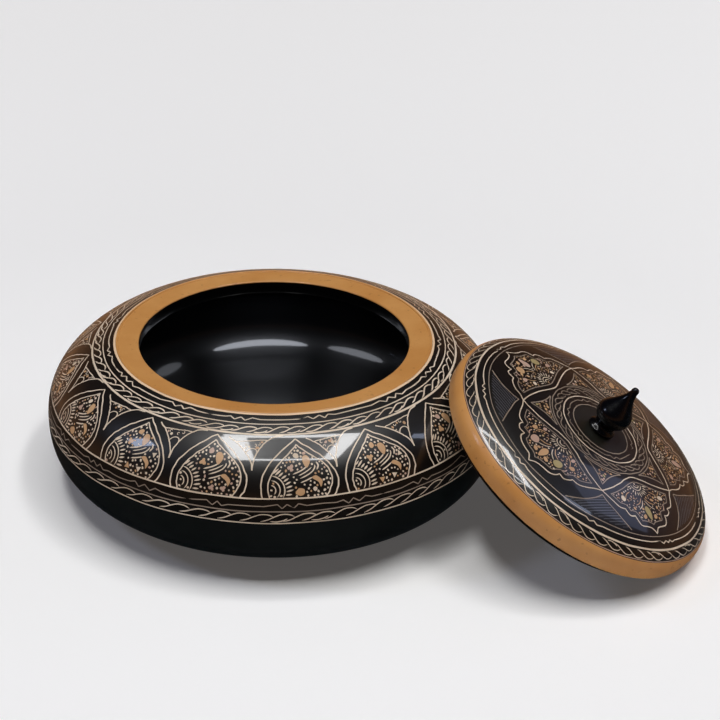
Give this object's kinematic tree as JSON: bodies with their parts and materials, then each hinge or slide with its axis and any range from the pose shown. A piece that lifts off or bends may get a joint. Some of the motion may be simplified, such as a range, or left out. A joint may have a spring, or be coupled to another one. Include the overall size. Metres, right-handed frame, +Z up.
{
  "type": "lidded bowl",
  "caption": "Turned wooden bowl, squat and rounded, with a shallow domed lid and a teardrop knob; the lid lifts off and leans on the bowl.",
  "frame": {"origin": "centre of the bowl's flat foot, in the plane it stands on", "axes": "+Z up along the bowl's own axis; the lid leans on the bowl on the +X side, 22 degrees towards -Y"},
  "size_m": [0.2817, 0.2116, 0.0707],
  "materials": {
    "bowl_lacquer": "black lacquer over turned wood, gloss, lower belly satin; ochre band round the mouth and fine cream line ornament",
    "lid_lacquer": "black gloss lacquer over turned wood with an ochre rim and fine cream line ornament",
    "knob_lacquer": "plain black gloss lacquer"
  },
  "bodies": {
    "bowl": {"bowl_body": "bowl_lacquer"},
    "lid": {"lid": "lid_lacquer", "knob": "knob_lacquer"}
  },
  "joints": [
    {"name": "lid_lift", "type": "slide", "parent": "bowl", "child": "lid", "axis": [0.4706, -0.1901, 0.8616], "range_m": [0, 0.2]}
  ]
}
